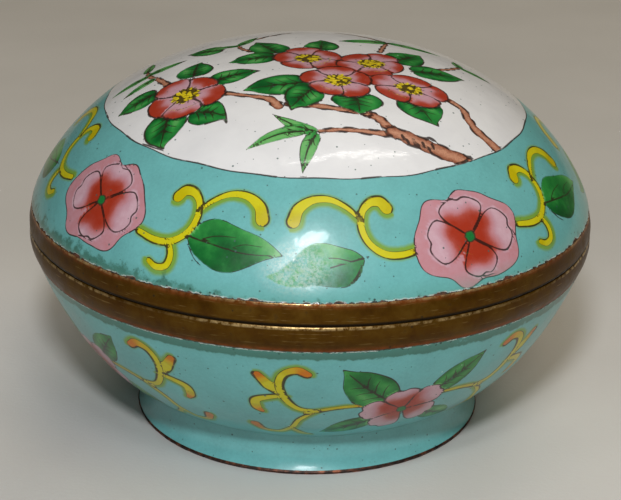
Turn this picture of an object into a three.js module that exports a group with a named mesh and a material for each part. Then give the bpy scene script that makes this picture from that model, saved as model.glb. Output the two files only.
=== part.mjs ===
// A round covered box of painted enamel on copper, with brass rims, in millimetres.
// +Z is up. The origin is the centre of the foot ring's underside, on the surface the box stands on.
import * as THREE from 'three';

// Driving dimensions.
const RIM_RADIUS = 51; // widest radius, on the bowl's rim
const WALL = 1.6; // copper sheet with enamel on both faces
const SEAM_Z = 36.7; // the plane where the lid's rim rests on the bowl's rim
const FACETS = 60; // flats round every turned piece

// Brass rims.
const RIM_EDGE = 0.4; // rounding of the edges that meet at the seam
const LID_RIM = {
  height: 3.8,
  thickness: 2.3,
  radius: RIM_RADIUS - 0.1,
  topRadius: RIM_RADIUS - 0.55,
  uprightShare: 0.4, // the share of its height below the slope
};
const BOWL_RIM = {
  height: 4.8,
  seamRadius: RIM_RADIUS - 0.2,
  shoulderRadius: RIM_RADIUS - 0.3,
  bottomRadius: RIM_RADIUS - 1.05,
  shoulderShare: 0.35, // where the underside's slope ends
  widestShare: 0.65,
};
const LIP_THICKNESS = 1.1; // upright lip that keeps the lid in place
const LIP_HEIGHT = 3.0; // above the seam
const LIP_CLEARANCE = 0.4; // between the lip and the lid's rim

// Lid dome: a superellipse from the rim to the crown.
const LID_BASE_Z = SEAM_Z + LID_RIM.height;
const LID_DOME_HEIGHT = 27;
const DOME_ROUND_EXPONENT = 2 / 2.755; // along the radius
const DOME_RISE_EXPONENT = 2 / 1.319; // along the height
const DOME_STEPS = { outside: 13, inside: 10 };

// Bowl: one smooth curve from the rim to the foot, then a shallow floor.
const BOWL_TOP_Z = SEAM_Z - BOWL_RIM.height;
const BOWL_BELLY = { radius: 42.3, z: 12.3 }; // the point that the side's curve bends towards
const FOOT_NECK = { radius: 30.6, z: 7.0 }; // where the foot ring is soldered to the bowl
const FLOOR_Z = 5.2; // underside of the bowl inside the foot ring
const FLOOR_FLAT_RADIUS = FOOT_NECK.radius * 0.75;
const SIDE_STEPS = 9;

// Foot ring.
const FOOT_RADIUS = 31.9;
const FOOT_FLARE_HEIGHT = 3.8;
const FOOT_EDGE_HEIGHT = 0.5; // bare upright edge of the sheet
const FOOT_THICKNESS = 1.5;
const FOOT_SEAT_DROP = 0.7; // slope of the foot's top, which follows the bowl's underside
const FLARE_SHARES = [0, 1 / 4, 1 / 2, 1]; // heights along the flare, as shares of it

const point = (radius, z) => new THREE.Vector2(radius, z);

/** Turns a profile of (radius, z) points round the Z axis. */
function turned(profile) {
  const geometry = new THREE.LatheGeometry(profile, FACETS);
  geometry.rotateX(Math.PI / 2);
  return geometry;
}

function piece(name, profile, material) {
  const mesh = new THREE.Mesh(turned(profile), material);
  mesh.name = name;
  return mesh;
}

/** Points of the dome's superellipse, from its base to its crown on the axis. */
function domeCurve(baseRadius, height, steps) {
  const curve = [];
  for (let i = 0; i <= steps; i += 1) {
    const angle = (i / steps) * (Math.PI / 2);
    const radius = i === steps ? 0 : baseRadius * Math.cos(angle) ** DOME_ROUND_EXPONENT;
    curve.push(point(radius, LID_BASE_Z + height * Math.sin(angle) ** DOME_RISE_EXPONENT));
  }
  return curve;
}

function lidDome() {
  const outside = domeCurve(LID_RIM.topRadius, LID_DOME_HEIGHT, DOME_STEPS.outside);
  const inside = domeCurve(LID_RIM.topRadius - WALL, LID_DOME_HEIGHT - WALL, DOME_STEPS.inside);
  return [...inside.reverse(), ...outside];
}

function lidRim() {
  const innerRadius = RIM_RADIUS - LID_RIM.thickness;
  return [
    point(innerRadius, SEAM_Z),
    point(LID_RIM.radius - RIM_EDGE, SEAM_Z),
    point(LID_RIM.radius, SEAM_Z + RIM_EDGE),
    point(LID_RIM.radius, SEAM_Z + LID_RIM.height * LID_RIM.uprightShare),
    point(LID_RIM.topRadius, LID_BASE_Z),
    point(innerRadius, LID_BASE_Z),
    point(innerRadius, SEAM_Z),
  ];
}

function bowlRim() {
  const lipOutside = RIM_RADIUS - LID_RIM.thickness - LIP_CLEARANCE;
  const lipInside = lipOutside - LIP_THICKNESS;
  const lipTop = SEAM_Z + LIP_HEIGHT;
  return [
    point(lipInside, BOWL_TOP_Z),
    point(BOWL_RIM.bottomRadius, BOWL_TOP_Z),
    point(BOWL_RIM.shoulderRadius, BOWL_TOP_Z + BOWL_RIM.height * BOWL_RIM.shoulderShare),
    point(RIM_RADIUS, BOWL_TOP_Z + BOWL_RIM.height * BOWL_RIM.widestShare),
    point(BOWL_RIM.seamRadius, SEAM_Z - RIM_EDGE),
    point(BOWL_RIM.seamRadius - RIM_EDGE, SEAM_Z),
    point(lipOutside, SEAM_Z),
    point(lipOutside, lipTop - RIM_EDGE),
    point(lipOutside - RIM_EDGE, lipTop),
    point(lipInside, lipTop),
    point(lipInside, BOWL_TOP_Z),
  ];
}

/** Points of the bowl's side from the rim down to the foot, moved inwards by an offset. */
function bowlSide(offset) {
  const top = new THREE.Vector3(BOWL_RIM.bottomRadius, BOWL_TOP_Z, 0);
  const belly = new THREE.Vector3(BOWL_BELLY.radius, BOWL_BELLY.z, 0);
  const neck = new THREE.Vector3(FOOT_NECK.radius, FOOT_NECK.z, 0);
  const side = new THREE.QuadraticBezierCurve3(top, belly, neck);
  return side.getSpacedPoints(SIDE_STEPS).map((place, i) => {
    const along = side.getTangentAt(i / SIDE_STEPS);
    const inwards = i === 0 ? point(-1, 0) : point(along.y, -along.x);
    return point(place.x + inwards.x * offset, place.y + inwards.y * offset);
  });
}

function bowl() {
  const outside = bowlSide(0);
  const inside = bowlSide(WALL);
  return [
    point(0, FLOOR_Z),
    point(FLOOR_FLAT_RADIUS, FLOOR_Z),
    point(FOOT_NECK.radius - FOOT_THICKNESS, FOOT_NECK.z - FOOT_SEAT_DROP),
    ...outside.reverse(),
    ...inside,
    point(FLOOR_FLAT_RADIUS, FLOOR_Z + WALL),
    point(0, FLOOR_Z + WALL),
  ];
}

/** The foot's outside: straight at the neck, then flared out to the edge it stands on. */
function footFlare() {
  return FLARE_SHARES.map((share) => {
    const radius = FOOT_NECK.radius + (FOOT_RADIUS - FOOT_NECK.radius) * (1 - share) ** 2;
    return point(radius, FOOT_EDGE_HEIGHT + FOOT_FLARE_HEIGHT * share);
  });
}

function footRing() {
  const innerNeck = FOOT_NECK.radius - FOOT_THICKNESS;
  return [
    point(FOOT_RADIUS - FOOT_THICKNESS, 0),
    point(FOOT_RADIUS, 0),
    ...footFlare(),
    point(FOOT_NECK.radius, FOOT_NECK.z),
    point(innerNeck, FOOT_NECK.z - FOOT_SEAT_DROP),
    point(innerNeck, FOOT_EDGE_HEIGHT + FOOT_FLARE_HEIGHT),
    point(FOOT_RADIUS - FOOT_THICKNESS, 0),
  ];
}

const enamel = new THREE.MeshStandardMaterial({ color: 0x72c0bd, roughness: 0.18, metalness: 0 });
const brass = new THREE.MeshStandardMaterial({ color: 0x6f5526, roughness: 0.42, metalness: 1 });

const box = new THREE.Group();
box.add(
  piece('foot_ring', footRing(), enamel),
  piece('bowl', bowl(), enamel),
  piece('bowl_rim', bowlRim(), brass),
  piece('lid_rim', lidRim(), brass),
  piece('lid_dome', lidDome(), enamel),
);

export default box;
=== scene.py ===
import math

import bpy
import numpy as np
from mathutils import Matrix, Vector


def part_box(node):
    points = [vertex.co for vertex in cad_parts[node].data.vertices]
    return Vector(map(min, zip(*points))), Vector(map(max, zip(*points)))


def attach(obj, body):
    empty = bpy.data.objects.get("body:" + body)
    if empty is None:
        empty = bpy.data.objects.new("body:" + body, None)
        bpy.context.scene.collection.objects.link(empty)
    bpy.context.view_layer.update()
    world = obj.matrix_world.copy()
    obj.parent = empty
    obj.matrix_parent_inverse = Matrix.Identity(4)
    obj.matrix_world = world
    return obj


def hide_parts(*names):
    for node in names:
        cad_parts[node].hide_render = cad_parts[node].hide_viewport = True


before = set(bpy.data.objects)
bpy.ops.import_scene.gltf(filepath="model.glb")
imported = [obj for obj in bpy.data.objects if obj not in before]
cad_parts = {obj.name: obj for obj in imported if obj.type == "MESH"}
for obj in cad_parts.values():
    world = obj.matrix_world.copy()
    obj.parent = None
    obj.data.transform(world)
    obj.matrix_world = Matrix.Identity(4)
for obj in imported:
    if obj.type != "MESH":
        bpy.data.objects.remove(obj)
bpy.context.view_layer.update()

MM = 0.001


def corners(node):
    """A node's lowest and highest corner."""
    low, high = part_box(node)
    return low / MM, high / MM


DOME_LOW, DOME_HIGH = corners("lid_dome")
LID_RIM_LOW, LID_RIM_HIGH = corners("lid_rim")
BOWL_RIM_LOW, BOWL_RIM_HIGH = corners("bowl_rim")
BOWL_LOW, BOWL_HIGH = corners("bowl")
_, FOOT_HIGH = corners("foot_ring")
WALL = 1.6
SEAM = LID_RIM_LOW.z

# ---------------------------------------------------------------- profiles

DOME_ROUND = 2 / 2.755  # exponents of the dome's superellipse
DOME_RISE = 2 / 1.319
BOWL_BELLY = (42.3, 12.3)  # the point that the bowl's side bends towards
FOOT_NECK = (30.6, FOOT_HIGH.z)
FOOT_SHEET = 1.5
FOOT_SEAT_DROP = 0.7
FOOT_EDGE, FOOT_FLARE = 0.5, 3.8  # heights of the bare upright edge and of the flare above it
FLOOR_FLAT_RADIUS = FOOT_NECK[0] * 0.75
RIM_THICKNESS = 2.3
LIP_CLEARANCE, LIP_THICKNESS = 0.4, 1.1  # of the upright lip inside the lid's rim
SKIN_AROUND, RING_AROUND = 720, 480  # vertices round the painted skins, and round the rims and the foot


def resample(curve, pitch, near_end=0.0, end_pitch=None):
    """Points at an even pitch along a curve of (radius, z), finer over the last stretch."""
    curve = np.array(curve, float)
    run = np.concatenate([[0], np.cumsum(np.hypot(*np.diff(curve, axis=0).T))])
    split = run[-1] - near_end
    at = np.linspace(0, split, max(2, round(split / pitch) + 1))
    if near_end:
        fine = np.linspace(split, run[-1], round(near_end / end_pitch) + 1)
        at = np.concatenate([at, fine[1:]])
    return np.column_stack([np.interp(at, run, curve[:, k]) for k in (0, 1)])


def dome_curve(radius, height):
    """The dome's section from its crown to its base."""
    turn = np.linspace(math.pi / 2, 0, 900)
    rise = height * np.sin(turn) ** DOME_RISE
    return np.column_stack([radius * np.cos(turn) ** DOME_ROUND, DOME_LOW.z + rise])


def bowl_side(offset=0.0):
    """The bowl's side from its rim to the foot's neck, moved inwards."""
    t = np.linspace(0, 1, 300)[:, None]
    ends = np.array([(BOWL_HIGH.x, BOWL_HIGH.z), BOWL_BELLY, FOOT_NECK])
    side = (1 - t) ** 2 * ends[0] + 2 * t * (1 - t) * ends[1] + t**2 * ends[2]
    along = np.gradient(side, axis=0)
    along /= np.hypot(*along.T)[:, None]
    inwards = np.column_stack([along[:, 1], -along[:, 0]])
    inwards[0] = (-1, 0)
    return side + inwards * offset


def arc(centre, radius, start, end, steps=5):
    """Points of an arc in a section, from one angle to another in degrees."""
    a = np.radians(np.linspace(start, end, steps))
    return np.column_stack([centre[0] + radius * np.cos(a), centre[1] + radius * np.sin(a)])


# ---------------------------------------------------------------- turned meshes


SHARP = math.radians(45)  # an edge bent more than this stays sharp


def bridge(first, a, second, b):
    """Faces between two rings of a and b vertices, where one count divides the other."""
    if a < b:
        return [list(reversed(face)) for face in bridge(second, b, first, a)]
    j = np.arange(a)
    after = (j + 1) % a
    if a == b:
        return np.column_stack([first + j, second + j, second + after, first + after]).tolist()
    share = a // b
    reach = (j + share // 2) // share % b  # the coarse vertex nearest to each fine edge
    faces = np.column_stack([first + j, second + reach, first + after]).tolist()
    if b > 1:
        coarse = np.arange(b)
        apex = (coarse * share + share - share // 2) % a
        faces += np.column_stack([first + apex, second + coarse, second + (coarse + 1) % b]).tolist()
    return faces


class Turned:
    """A profile turned round the Z axis. It keeps each vertex's azimuth and place along the profile."""

    def __init__(self, rings, counts, closed=False):
        self.rings = np.array(rings, float)
        self.counts = np.array(counts)
        step = np.hypot(*np.diff(self.rings, axis=0).T)
        self.run = np.concatenate([[0], np.cumsum(step)])
        self.starts = np.concatenate([[0], np.cumsum(self.counts)])
        self.ring = np.repeat(np.arange(len(self.counts)), self.counts)
        place = np.arange(self.starts[-1]) - self.starts[self.ring]
        self.azimuth = place * 360.0 / self.counts[self.ring]
        self.radius = self.rings[self.ring, 0]
        self.height = self.rings[self.ring, 1]
        self.along = self.run[self.ring]
        self.faces, self.segment = [], []
        last = len(self.counts) if closed else len(self.counts) - 1
        for i in range(last):
            k = (i + 1) % len(self.counts)
            made = bridge(self.starts[i], self.counts[i], self.starts[k], self.counts[k])
            self.faces += made
            self.segment += [i] * len(made)
        self.closed = closed

    def positions(self):
        a = np.radians(self.azimuth)
        return np.column_stack([self.radius * np.sin(a), -self.radius * np.cos(a), self.height])

    def build(self, name, materials):
        mesh = bpy.data.meshes.new(name)
        mesh.from_pydata((self.positions() * MM).tolist(), [], self.faces)
        mesh.polygons.foreach_set("use_smooth", [True] * len(mesh.polygons))
        mesh.set_sharp_from_angle(angle=SHARP)
        for material in materials:
            mesh.materials.append(material)
        piece = bpy.data.objects.new(name, mesh)
        bpy.context.scene.collection.objects.link(piece)
        self.corner_vertex = np.empty(len(mesh.loops), np.int32)
        mesh.loops.foreach_get("vertex_index", self.corner_vertex)
        sizes = np.empty(len(mesh.polygons), np.int32)
        mesh.polygons.foreach_get("loop_total", sizes)
        self.corner_face = np.repeat(np.arange(len(sizes)), sizes)
        return piece

    def set_map(self, piece, u, v):
        layer = piece.data.uv_layers.new(name="OFBake")
        layer.data.foreach_set("uv", np.column_stack([u, v]).astype(np.float32).ravel())

    def disc_map(self, piece, split, first_is_big):
        """Two round maps: the rings before a split, and the rings after it, seen along the axis."""
        vertex = self.corner_vertex
        before = np.array(self.segment)[self.corner_face] < split
        middle, total = self.run[split], self.run[-1]
        after = (total - self.along[vertex]) / (total - middle)
        share = np.where(before, self.along[vertex] / middle, after)
        big = before == first_is_big
        reach = np.where(big, 0.49, 0.065) * share
        centre = np.where(big, 0.5, 0.07)
        a = np.radians(self.azimuth[vertex])
        self.set_map(piece, centre + reach * np.sin(a), centre - reach * np.cos(a))

    def strip_map(self, piece, strips):
        """The turned surface cut into sectors, which lie over each other as strips."""
        vertex = self.corner_vertex
        sector = 360.0 / strips
        turn = np.radians(self.azimuth[vertex])
        faces = self.corner_face[-1] + 1
        lean = [np.bincount(self.corner_face, f(turn), faces) for f in (np.sin, np.cos)]
        middle = np.degrees(np.arctan2(*lean)) % 360.0
        strip = np.floor(middle / sector)[self.corner_face]
        offset = self.azimuth[vertex] - middle[self.corner_face]
        unwrapped = middle[self.corner_face] + (offset + 180) % 360 - 180
        segment = np.array(self.segment)[self.corner_face]
        along = self.along[vertex]
        if self.closed:
            closing = (segment == len(self.counts) - 1) & (self.ring[vertex] == 0)
            gap = np.hypot(*(self.rings[0] - self.rings[-1]))
            along = np.where(closing, self.run[-1] + gap, along)
            total = self.run[-1] + gap
        else:
            total = self.run[-1]
        u = 0.01 + 0.98 * (unwrapped - strip * sector) / sector
        v = (strip + 0.02 + 0.96 * along / total) / strips
        self.set_map(piece, u, v)


def set_attribute(piece, name, values):
    """Stores one number, or three, at each vertex for the shader."""
    values = np.asarray(values, np.float32)
    kind, field = ("FLOAT", "value") if values.ndim == 1 else ("FLOAT_VECTOR", "vector")
    attribute = piece.data.attributes.new(name, kind, "POINT")
    attribute.data.foreach_set(field, values.ravel())


def wander(azimuth, seed, periods, size):
    """A smooth random wave round the axis, made of a few whole periods."""
    rng = np.random.default_rng(seed)
    a = np.radians(azimuth)
    total = np.zeros_like(a)
    for period in periods:
        total += rng.normal() * np.cos(period * a + rng.uniform(0, 2 * math.pi))
    return total * size / math.sqrt(len(periods))


# ---------------------------------------------------------------- painting

LAYERS = ("petal", "leaf", "scroll", "branch")
FAR = 9.0
REACH = 2.0  # how far from its edge a shape is worked out


def smooth(points, steps=8, closed=False):
    """A curve through a few points (Catmull-Rom)."""
    p = np.array(points, float)
    if closed:
        p = np.vstack([p[-1], p, p[0], p[1]])
    else:
        p = np.vstack([2 * p[0] - p[1], p, 2 * p[-1] - p[-2]])
    t = np.linspace(0, 1, steps, endpoint=False)[None, :, None]
    a, b, c, d = (p[i : len(p) - 3 + i, None, :] for i in range(4))
    square, cube = 2 * a - 5 * b + 4 * c - d, 3 * b - a - 3 * c + d
    curve = 0.5 * (2 * b + (c - a) * t + square * t**2 + cube * t**3)
    curve = curve.reshape(-1, 2)
    return curve if closed else np.vstack([curve, p[-2]])


def nearest(x, y, curve):
    """Distance to a polyline, the same with its side's sign (left is above 0), and the share along it."""
    a, b = curve[:-1], curve[1:]
    step = b - a
    length = np.maximum((step**2).sum(1), 1e-9)
    px, py = x[:, None] - a[:, 0], y[:, None] - a[:, 1]
    t = np.clip((px * step[:, 0] + py * step[:, 1]) / length, 0, 1)
    gap = np.hypot(px - t * step[:, 0], py - t * step[:, 1])
    best = gap.argmin(1)
    rows = np.arange(len(x))
    cross = step[best, 0] * py[rows, best] - step[best, 1] * px[rows, best]
    gap = gap[rows, best]
    return gap, np.where(cross < 0, -gap, gap), (best + t[rows, best]) / len(a)


def inside(x, y, outline):
    """Whether each place lies in a closed outline."""
    a, b = outline, np.roll(outline, -1, axis=0)
    crosses = (a[:, 1] > y[:, None]) != (b[:, 1] > y[:, None])
    rise = np.where(b[:, 1] == a[:, 1], 1e-9, b[:, 1] - a[:, 1])
    at = a[:, 0] + (y[:, None] - a[:, 1]) * (b[:, 0] - a[:, 0]) / rise
    return (crosses & (x[:, None] < at)).sum(1) % 2 == 1


def ease(low, high, value):
    """0 below low, 1 above high, and a smooth step between them."""
    t = np.clip((value - low) / (high - low), 0, 1)
    return t * t * (3 - 2 * t)


class Canvas:
    """What the enamel colours cover at each vertex, as distances that are below 0 inside a shape."""

    def __init__(self, count):
        self.cover = {layer: np.full(count, FAR) for layer in LAYERS}
        self.halo = np.full(count, FAR)
        self.tone = np.full(count, 0.5)
        self.line = np.full(count, FAR)  # place across the nearest ink line, in half widths
        self.near = np.full(count, FAR)  # distance to it
        self.heart = np.tile([FAR, FAR, 0.0], (count, 1))  # place in the nearest flower, and its kind
        self.wear = np.zeros(count)

    def lay(self, layer, where, distance, tone):
        for other in LAYERS:
            if other != layer:
                self.cover[other][where] = np.maximum(self.cover[other][where], -distance)
        self.cover[layer][where] = np.minimum(self.cover[layer][where], distance)
        self.near[where] = np.maximum(self.near[where], -distance)
        self.wear[where[distance < 0]] = 0
        touched = distance < 0.4
        self.tone[where[touched]] = np.broadcast_to(tone, distance.shape)[touched]

    def draw(self, where, across, gap, half_width):
        closer = gap < self.near[where]
        self.near[where[closer]] = gap[closer]
        self.line[where[closer]] = (across / half_width)[closer]


class Brush:
    """Paints on a canvas through a flat frame, x to the right and y up."""

    def __init__(self, canvas, x, y):
        self.canvas, self.x, self.y = canvas, x, y

    def at(self, x, y, turn=0.0, flip=1):
        """The brush with its origin moved, turned anticlockwise, and mirrored by a flip of -1."""
        c, s = math.cos(math.radians(turn)), math.sin(math.radians(turn))
        dx, dy = self.x - x, self.y - y
        return Brush(self.canvas, flip * (c * dx + s * dy), c * dy - s * dx)

    def near(self, points, margin=REACH):
        low, high = points.min(0) - margin, points.max(0) + margin
        beside = (self.x > low[0]) & (self.x < high[0])
        return np.flatnonzero(beside & (self.y > low[1]) & (self.y < high[1]))

    def fill(self, layer, outline, tone, ink=0.13, gaps=0.0, seed=0):
        """Fills a closed outline over what is there. tone is a number or a function of x and y."""
        where = self.near(outline)
        if not len(where):
            return
        x, y = self.x[where], self.y[where]
        gap, _, along = nearest(x, y, np.vstack([outline, outline[:1]]))
        distance = np.where(inside(x, y, outline), -gap, gap)
        self.canvas.lay(layer, where, distance, tone(x, y) if callable(tone) else tone)
        if ink:
            self.canvas.draw(where, distance, gap, ink * pressure(along, seed, gaps))

    def stroke(self, layer, points, widths, tone, edge=0, ink=0.13, halo=0.0):
        """A tapered stroke along a smooth curve, inked on its left (edge 1) or right (edge -1)."""
        curve = smooth(points)
        where = self.near(curve)
        if not len(where):
            return
        gap, side, along = nearest(self.x[where], self.y[where], curve)
        half = np.interp(along, np.linspace(0, 1, len(widths)), widths) / 2
        if halo:
            off_side = gap - half - halo * (0.65 - 0.35 * edge * np.sign(side))
            self.canvas.halo[where] = np.minimum(self.canvas.halo[where], off_side)
        self.canvas.lay(layer, where, gap - half, tone(along) if callable(tone) else tone)
        if edge:
            rim = gap - half
            weight = np.where(edge * side > 0, 1.25, 0.35)
            self.canvas.draw(where, rim, np.abs(rim), ink * weight * pressure(along, len(points)))

    def ink(self, points, width=0.12):
        """An ink line that thins out towards its end."""
        curve = smooth(points)
        where = self.near(curve, 1.2)
        gap, side, along = nearest(self.x[where], self.y[where], curve)
        self.canvas.draw(where, side, gap, width * (1.1 - 0.6 * along))


def pressure(along, seed, gaps=0.0):
    """How hard the pen is pressed along a line, about 1, with a thin stretch where gaps is above 0."""
    phase = 2.4 * seed
    wave = 0.62 * np.sin(2 * math.pi * along + phase) + 0.38 * np.sin(6 * math.pi * along + 2 * phase)
    return np.clip(0.85 + 0.4 * wave - gaps * (wave > 0.25), 0.05, 1.4)


# ---------------------------------------------------------------- motifs


def petal(brush, length, width, tone, notch=0.05, ink=0.13, seed=0):
    """A petal that runs from the flower's centre along +x."""
    sway = 0.05 * math.sin(3.1 * seed)
    share = [(0.04, 0), (0.20, 0.16), (0.46, 0.40), (0.70, 0.49 + sway), (0.87, 0.36), (0.97, 0.16)]
    share += [(1 - notch, 0), (0.96, -0.17), (0.86, -0.37), (0.68, -0.49 + sway)]
    share += [(0.44, -0.38), (0.19, -0.16)]
    outline = smooth(np.array(share) * (length, width), closed=True)
    brush.fill("petal", outline, tone, ink=ink, seed=seed, gaps=0.35)


def blossom(brush, radius, turn, squash=1.0, seed=0):
    """Five petals, red at their tips and pale towards a heart of yellow stamens."""
    if squash != 1.0:
        brush = Brush(brush.canvas, brush.x, brush.y / squash)
    for k in (0, 2, 4, 1, 3):
        length = radius * (1 + 0.08 * math.sin(2.3 * k + seed))
        width = radius * (1.0 + 0.06 * math.cos(2.9 * k + seed))
        lean = math.sin(1.7 * k + seed)
        flush = 0.43 + 0.10 * math.sin(2.9 * k + seed)

        def tone(x, y, length=length, side=lean, start=flush):
            tip = np.hypot(x, 0.4 * y) / length + 0.26 * side * y / length
            return 0.82 - 0.78 * ease(start, start + 0.42, tip + 0.05 * np.sin(1.9 * y + seed))

        petal(brush.at(0, 0, turn + 72 * k), length, width, tone, 0.02, ink=0.20, seed=seed + k)
    where = np.flatnonzero(np.hypot(brush.x, brush.y) < 0.62 * radius)
    c, s = math.cos(math.radians(turn)), math.sin(math.radians(turn))
    x, y = brush.x[where], brush.y[where]
    brush.canvas.heart[where] = np.column_stack([c * x + s * y, c * y - s * x, np.ones(len(where))])


EDGE_REACH = 9.0  # mean reach of a rose's pink edge from its heart
EDGE_OVAL = 1.3  # how much further it reaches along the border, and less across it
EDGE_RUFFLE = 0.5  # depth of its ruffles


def ruffled_edge(seed):
    """The outline of a rose's pink edge: an oval with uneven ruffles."""
    turn = np.linspace(0, 2 * math.pi, 60, endpoint=False)
    ruffle = np.sin(6 * turn + seed) + 0.5 * np.sin(9 * turn + 2 * seed)
    reach = EDGE_REACH + EDGE_OVAL * np.cos(2 * turn) + EDGE_RUFFLE * ruffle
    return np.column_stack([reach * np.cos(turn), reach * np.sin(turn)])


def rose(brush, petals, seed=0, edged=False):
    """A flower whose petals are red at the heart, on a ruffled pink edge where asked."""
    if edged:
        outline = smooth(ruffled_edge(seed), closed=True)
        brush.fill("petal", outline, 0.66, ink=0.13, gaps=0.45, seed=seed)
    for k, (direction, length, width, flush) in enumerate(petals):

        def tone(x, y, length=length, flush=flush):
            out = np.hypot(x, 0.7 * y) / length
            return 0.02 + 0.90 * ease(flush - 0.10, flush + 0.36, out + 0.06 * np.sin(1.1 * y + k))

        petal(brush.at(0, 0, direction), length, width, tone, 0.08, seed=seed + 2 * k, ink=0.18)
    where = np.flatnonzero(np.hypot(brush.x, brush.y) < 3)
    x, y = brush.x[where], brush.y[where]
    brush.canvas.heart[where] = np.column_stack([x, y, np.full(len(where), 2.0)])


def leaf(brush, length, width, bend=0.0, light=0.0, ink=0.12, veins=3, seed=0, hook=0.0):
    """A leaf from its stem along +x to its tip, with inked veins. Its tip turns aside by the hook."""
    upper = [(0, 0), (-0.02, 0.18), (0.08, 0.41), (0.36, 0.53), (0.68, 0.38), (0.88, 0.13), (1, 0)]
    upper = np.array(upper)
    lower = upper * (1, -0.95)
    upper[3, 0] += 0.05 * math.sin(seed)

    def bent(points):
        along, across = np.array(points, float).T
        aside = bend * along**2 + hook * np.clip((along - 0.7) / 0.3, 0, 1) ** 2
        return np.column_stack([along * length, across * width + aside])

    outline = np.vstack([smooth(bent(upper)), smooth(bent(lower[::-1]))[1:-1]])

    def tone(x, y):
        a = np.clip(x / length, 0, 1)
        b = (y - bend * a**2) / width
        lobes = np.exp(-(((a - 0.40) / 0.28) ** 2) - ((np.abs(b) - 0.27) / 0.14) ** 2)
        ends = 0.30 * ease(0.75, 1.0, a) - 0.10 * ease(0.25, 0.0, a)
        shade = 0.24 + light + 0.46 * lobes + ends
        return np.clip(shade + 0.10 * (b > 0) + 0.10 * np.sin(9 * a + seed), 0, 1)

    brush.fill("leaf", outline, tone, ink=ink, seed=seed, gaps=0.8)
    if not veins:
        return
    brush.ink(bent([(-0.04, 0), (0.4, 0.02), (0.86, 0)]), 0.20)
    for k in range(veins):
        start = 0.14 + 0.50 * k / veins
        reach = 0.36 * (1 - start) ** 0.6
        for side in (1, -1):
            vein = [(start, 0), (start + 0.10, 0.55 * reach * side), (start + 0.15, reach * side)]
            brush.ink(bent(vein), 0.12)


LEAF_FULLNESS = 0.52  # half the width of a border's leaf at its widest, as a share of its width
BROAD_LEAF, FLAG_LEAF = 0.05, -0.08  # how far each kind's edges wave, as a share of its width


def wavy_leaf(wave):
    """The upper and the lower edge of a pointed oval that waves, as shares of its length and width."""
    along = np.linspace(0, 1, 13)
    fullness = LEAF_FULLNESS * np.sin(math.pi * along**0.7)
    ripple = wave * np.sin(3 * math.pi * along)
    upper = np.column_stack([along, ripple + fullness])
    lower = np.column_stack([along, ripple - fullness])
    return upper, lower[::-1]


def long_leaf(brush, length, width, wave, light=0.0, seed=0):
    """A broad leaf of the borders, dark below and pale towards its tip, half outlined."""
    upper, lower = wavy_leaf(wave)

    def scaled(points):
        return np.array(points) * (length, width)

    outline = np.vstack([smooth(scaled(upper)), smooth(scaled(lower))[1:-1]])

    def tone(x, y):
        a = np.clip(x / length, 0, 1)
        b = y / width
        shade = 0.36 + light + 0.5 * b + 0.35 * ease(0.5, 1, a)
        return np.clip(shade + 0.12 * np.sin(7 * a + 5 * b + seed), 0, 1)

    brush.fill("leaf", outline, tone, ink=0.07, seed=seed, gaps=0.75)
    veins = [
        ([(-0.03, 0.02), (0.25, -0.02), (0.6, -0.08), (0.9, -0.03)], 0.14),
        ([(0.14, 0.0), (0.3, 0.16), (0.5, 0.22)], 0.10),
        ([(0.45, -0.06), (0.6, 0.1), (0.78, 0.12)], 0.08),
        ([(0.05, -0.16), (0.14, -0.38), (0.22, -0.5)], 0.16),
    ]
    for points, ink in veins:
        brush.ink(scaled(points), ink)


def scroll(brush, hot=0.0, hook=True):
    """A scroll that springs to the right from a flower at the origin: a curl, an arm and a hook."""

    def tone(along):
        return 1.0 - hot * ease(0.72, 0.97, along)

    curl = [(10.4, -2.0), (14.0, -2.7), (16.9, -2.3), (19.2, -0.4), (20.2, 2.2), (19.8, 4.9)]
    curl += [(18.2, 6.5), (16.3, 6.6), (15.3, 5.4)]
    arm = [(20.1, 3.6), (22.3, 5.8), (25.2, 7.3), (28.4, 7.2), (30.8, 5.6), (31.6, 3.4)]
    if hook:
        small = [(16.6, -2.6), (17.4, -4.6), (17.0, -6.4), (15.4, -6.9), (13.9, -6.2)]
        brush.stroke("scroll", small, (0.9, 1.1, 1.2, 1.1, 0.9), tone, -1, 0.12, 0.75)
    brush.stroke("scroll", arm, (0.7, 0.9, 1.1, 1.4, 2.0, 2.3), tone, 1, 0.12, 0.75)
    brush.stroke("scroll", curl, (1.0, 1.2, 1.2, 1.1, 1.2, 1.2, 1.5, 2.0, 2.2), tone, -1, 0.13, 0.75)
    brush.ink([(20.0, 3.4), (20.3, 4.3), (21.2, 5.4)], 0.36)


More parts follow.
